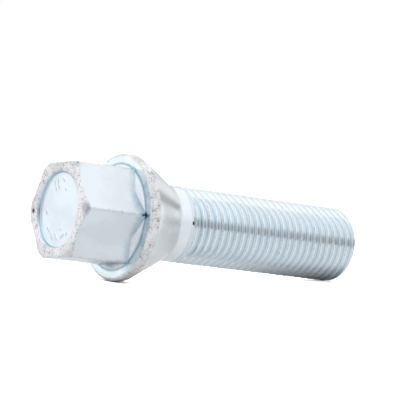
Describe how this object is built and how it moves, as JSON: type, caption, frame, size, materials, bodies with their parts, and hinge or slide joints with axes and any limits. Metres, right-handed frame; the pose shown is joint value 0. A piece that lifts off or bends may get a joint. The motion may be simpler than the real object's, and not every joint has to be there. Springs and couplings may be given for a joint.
{
  "type": "wheel bolt",
  "caption": "Bright zinc-plated wheel bolt with a hexagon head, a flange, a 60 degree cone seat and a rolled metric thread.",
  "frame": {"origin": "centre of the head's end face, on which the bolt stands", "axes": "+Z along the bolt's axis, from the head to the thread's tip; a corner of the hexagon lies along +X"},
  "size_m": [0.023, 0.023, 0.0629],
  "materials": {
    "bright_zinc": "bright zinc plating with a pale blue tint"
  },
  "bodies": {
    "root": {"wheel_bolt": "bright_zinc"}
  },
  "joints": []
}
